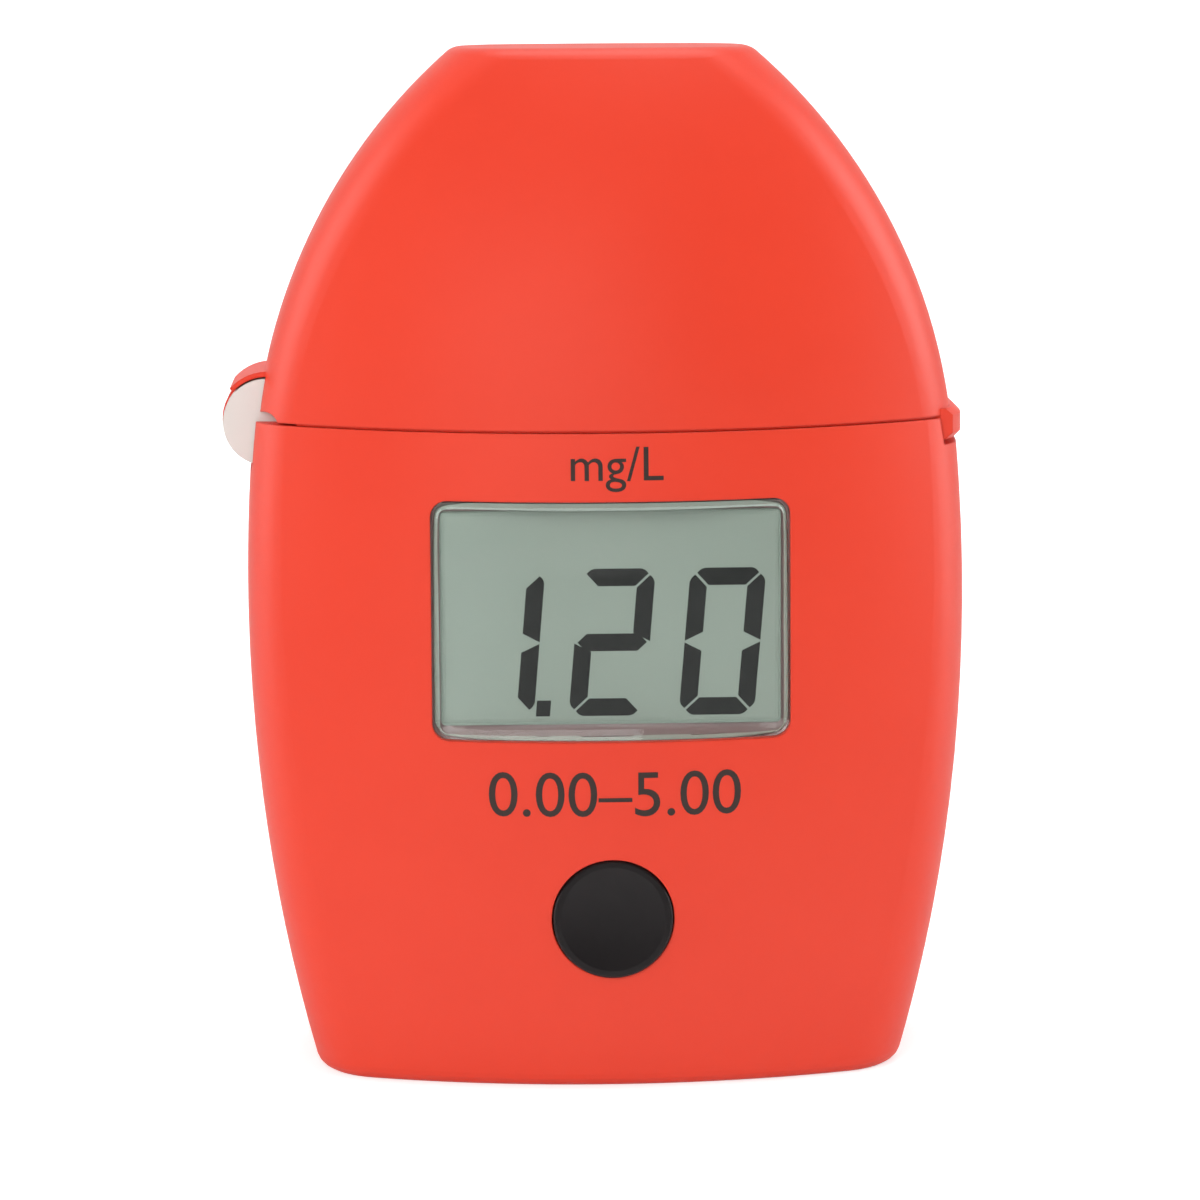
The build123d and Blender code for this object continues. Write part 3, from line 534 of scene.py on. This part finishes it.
figures = []
for place_from_right, letters in ((2, "bc"), (1, "abged"), (0, "abcdef")):
    bars = figure_bars(letters)
    figure = join_pieces(bars, "figure")
    figure.data.transform(Matrix.Translation(((-place_from_right * digit_pitch) * MM, 0, 0)))
    figures.append(figure)
figures.append(start_box(
    "point",
    ((-digit_pitch * 1.5 - point_width) * MM, -ink_depth * MM, 0),
    (-digit_pitch * 1.5 * MM, 0, point_height * MM),
))
figures[-1].data.transform(Matrix.Translation((
    (point_x - last_digit_x + digit_width / 2 + digit_pitch * 1.5 + point_width / 2) * MM, 0, 0
)))
digits = join_pieces(figures, "display_digits")
lean = Matrix.Identity(4)
lean[0][2] = digit_lean
digits.data.transform(lean)
lean_shift = digit_lean * digit_height / 2
digits.data.transform(Matrix.Translation((
    (last_digit_x - digit_width / 2 - lean_shift) * MM, film_front, digit_base_z * MM
)))
driven_crystal = plain_material("driven_liquid_crystal", "101311", 0.6, **{"Specular IOR Level": 0.0})
digits.data.materials.append(driven_crystal)
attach(digits, "case")


# Window. Clear acrylic, polished, with a moulded round edge that bends the case's red into thin lines.
# Shadow rays pass through it, so the display behind is lit as through a real thin window.
material, tree = new_material("clear_acrylic")
rays = add_node(tree, "ShaderNodeLightPath")
clear = add_node(tree, "ShaderNodeBsdfTransparent", {"Color": (0.95, 0.96, 0.95, 1)})
coords = add_node(tree, "ShaderNodeTexCoord")
haze_size = 3.0
haze = add_node(
    tree, "ShaderNodeTexNoise", {"Scale": 1 / (haze_size * MM), "Detail": 2.0},
    {"Vector": coords.outputs["Object"]},
)
rough = add_node(
    tree, "ShaderNodeMapRange", {"To Min": 0.01, "To Max": 0.04}, {"Value": haze.outputs["Fac"]}
)
acrylic = add_node(
    tree, "ShaderNodeBsdfPrincipled",
    {"Base Color": linear("F4F6F4"), "IOR": 1.49, "Specular IOR Level": 0.2, "Transmission Weight": 1.0},
    {"Roughness": rough.outputs["Result"]},
)
window_mix = add_node(
    tree, "ShaderNodeMixShader", {},
    {0: rays.outputs["Is Shadow Ray"], 1: acrylic.outputs[0], 2: clear.outputs[0]},
)
add_node(tree, "ShaderNodeOutputMaterial", {}, {"Surface": window_mix.outputs[0]})
dress(["display_window"], material)


# Seam bead. A thin bead in the parting gap under the lid's rim, so that the parting line is a red crease and
# no black slot. It is a slice of the lid's own wall, set in a little from the outside, and it stops short of
# the hinge. It rides on the lid.
bead_height = 0.14
bead_inset = 0.3
bead_left = -26.0
case_rim = 55.1
lid_rim = 55.3
rim_half_width = 29.25
rim_half_depth = 17.8

bpy.ops.object.select_all(action="DESELECT")
bpy.ops.mesh.primitive_cube_add(size=1)
bead = bpy.context.object
bead.name = "seam_bead"
bead.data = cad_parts["lid_shell"].data.copy()
bead.data.materials.clear()
bpy.ops.object.mode_set(mode="EDIT")
bpy.ops.mesh.select_all(action="SELECT")
bpy.ops.mesh.bisect(
    plane_co=(0, 0, (lid_rim + bead_height) * MM), plane_no=(0, 0, 1), use_fill=True, clear_outer=True,
    threshold=1e-7,
)
bpy.ops.mesh.select_all(action="SELECT")
bpy.ops.mesh.bisect(
    plane_co=(0, 0, lid_rim * MM), plane_no=(0, 0, -1), use_fill=False, clear_outer=True, threshold=1e-7
)
bpy.ops.mesh.select_all(action="SELECT")
bpy.ops.mesh.bisect(
    plane_co=(bead_left * MM, 0, 0), plane_no=(-1, 0, 0), use_fill=True, clear_outer=True, threshold=1e-7
)
bpy.ops.object.mode_set(mode="OBJECT")
narrower = 1 - bead_inset / rim_half_width
shallower = 1 - bead_inset / rim_half_depth
bead_middle = (case_rim + lid_rim) / 2
bead.data.transform(Matrix.Diagonal((narrower, shallower, 1, 1)))
bead.data.transform(Matrix.Translation((0, 0, (bead_middle - lid_rim - bead_height / 2) * MM)))
bead.data.materials.append(red_abs)
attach(bead, "lid")


# Printed marks. Pad-printed in one pass of brown-black ink, 0.02 mm thick: the unit above the window and
# the range in plain numbers below it. The print follows the bowed face.
ink_lift = 0.03
font_capital = 0.729
print_start = 30


def printed_mark(name, words, height, x, z):
    """Flat lettering of that capital height in mm, centred at x and z, wrapped on the front shell."""
    bpy.ops.object.select_all(action="DESELECT")
    bpy.ops.object.text_add()
    piece = bpy.context.object
    piece.name = name
    piece.data.body = words
    piece.data.align_x = "CENTER"
    piece.data.size = 1.0
    piece.data.resolution_u = 6
    bpy.ops.object.convert(target="MESH")
    piece = bpy.context.object
    grow = height / font_capital * MM
    piece.data.transform(Matrix.Rotation(math.radians(90), 4, "X") @ Matrix.Diagonal((grow, grow, grow, 1)))
    piece.data.transform(Matrix.Translation((x * MM, -print_start * MM, z * MM)))
    bpy.ops.object.mode_set(mode="EDIT")
    bpy.ops.mesh.select_all(action="SELECT")
    bpy.ops.mesh.remove_doubles(threshold=1e-6)
    bpy.ops.mesh.quads_convert_to_tris()
    bpy.ops.mesh.subdivide(number_cuts=1)
    bpy.ops.object.mode_set(mode="OBJECT")
    wrap = piece.modifiers.new("wrap", "SHRINKWRAP")
    wrap.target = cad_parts["front_shell"]
    wrap.wrap_method = "PROJECT"
    wrap.use_project_x = wrap.use_project_z = False
    wrap.use_project_y = True
    wrap.use_negative_direction = True
    wrap.use_positive_direction = True
    wrap.offset = ink_lift * MM
    bpy.ops.object.modifier_apply(modifier="wrap")
    piece.data.materials.append(print_ink)
    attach(piece, "case")
    return piece


print_ink = plain_material("brown_black_ink", "3C302C", 0.55)
printed_mark("unit_mark", "mg/L", 2.9, 0.4, 51.3)
printed_mark("range_mark", "0.00–5.00", 3.9, 0.2, 23.6)


# Button. Moulded black elastomer with a fine matte skin and a shallow dish for the finger.
dark_rubber = moulded_plastic("black_elastomer", "1E1A1B", "191516", 0.25, 0.004, 0.38, 1.45)
dress(["button_cap"], dark_rubber)


# Circuit board and what is soldered to it. Green solder mask over copper tracks on woven glass, black
# epoxy packages, a nickel detector can and a water-clear lamp.
track_pitch = 6.0
weave_pitch = 0.5
material, tree = new_material("green_solder_mask")
coords = add_node(tree, "ShaderNodeTexCoord")
tracks = add_node(
    tree, "ShaderNodeTexBrick",
    {
        "Color1": linear("0E5A2A"), "Color2": linear("11642F"), "Mortar": linear("2F8A45"),
        "Scale": 1 / (track_pitch * MM), "Mortar Size": 0.03,
    },
    {"Vector": coords.outputs["Object"]},
)
weave = add_node(
    tree, "ShaderNodeTexChecker", {"Scale": 1 / (weave_pitch * MM)}, {"Vector": coords.outputs["Object"]}
)
relief = add_node(
    tree, "ShaderNodeBump", {"Strength": 0.4, "Distance": 0.01 * MM}, {"Height": weave.outputs["Fac"]}
)
mask = add_node(
    tree, "ShaderNodeBsdfPrincipled", {"Roughness": 0.3, "IOR": 1.5},
    {"Base Color": tracks.outputs["Color"], "Normal": relief.outputs["Normal"]},
)
add_node(tree, "ShaderNodeOutputMaterial", {}, {"Surface": mask.outputs[0]})
dress(["circuit_board"], material)
black_epoxy = moulded_plastic("black_epoxy", "1C1C1D", "151515", 0.2, 0.003, 0.45)
dress(["board_chips", "tact_switch", "switch_plunger"], black_epoxy)
dress(["zebra_strips"], plain_material("pink_elastomer", "C98C86", 0.6))
dress(["light_detector"], turned_steel("nickel_can", "C8C4BA", 0.5, 0.3))
lamp_epoxy = plain_material("water_clear_epoxy", "E8EEF2", 0.08, IOR=1.5, **{"Transmission Weight": 0.7})
dress(["light_source"], lamp_epoxy)
filter_glass = plain_material(
    "coated_filter_glass", "3E7FC0", 0.05, IOR=1.52, **{"Transmission Weight": 0.6}
)
dress(["colour_filter"], filter_glass)


# Cuvette. Drawn glass vial with a ribbed black cap, its liner, and the foam ring that shuts out light.
vial_glass = plain_material("clear_borosilicate", "F2F7F6", 0.03, IOR=1.47, **{"Transmission Weight": 1.0})
dress(["cuvette_glass"], vial_glass)
dress(["cuvette_cap"], moulded_plastic("black_phenolic", "1D1C1C", "161515", 0.3, 0.003, 0.36))
dress(["cuvette_seal"], plain_material("white_cap_liner", "DDDCD4", 0.6))
dress(["light_seal"], moulded_plastic("black_foam", "161616", "0F0F0F", 0.4, 0.08, 0.85))


# Cell. A steel can in a printed plastic jacket: dark with a lighter end band, and bare metal at its ends.
cell_low, cell_high = (Vector(corner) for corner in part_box("battery_cell"))
material, tree = new_material("cell_jacket")
coords = add_node(tree, "ShaderNodeTexCoord")
along = add_node(tree, "ShaderNodeSeparateXYZ", {}, {0: coords.outputs["Object"]})
share = add_node(
    tree, "ShaderNodeMapRange", {"From Min": cell_low.x, "From Max": cell_high.x},
    {"Value": along.outputs["X"]},
)
bands = add_node(tree, "ShaderNodeValToRGB", {}, {0: share.outputs["Result"]})
ramp = bands.color_ramp
ramp.interpolation = "CONSTANT"
ramp.elements[0].color = linear("B9B6B0")
ramp.elements[1].position = 0.012
ramp.elements[1].color = linear("20242A")
for position, colour in ((0.70, "B08A3C"), (0.955, "B9B6B0")):
    stop = ramp.elements.new(position)
    stop.color = linear(colour)
jacket = add_node(
    tree, "ShaderNodeBsdfPrincipled", {"Roughness": 0.28, "Metallic": 0.35},
    {"Base Color": bands.outputs["Color"]},
)
add_node(tree, "ShaderNodeOutputMaterial", {}, {"Surface": jacket.outputs[0]})
dress(["battery_cell"], material)
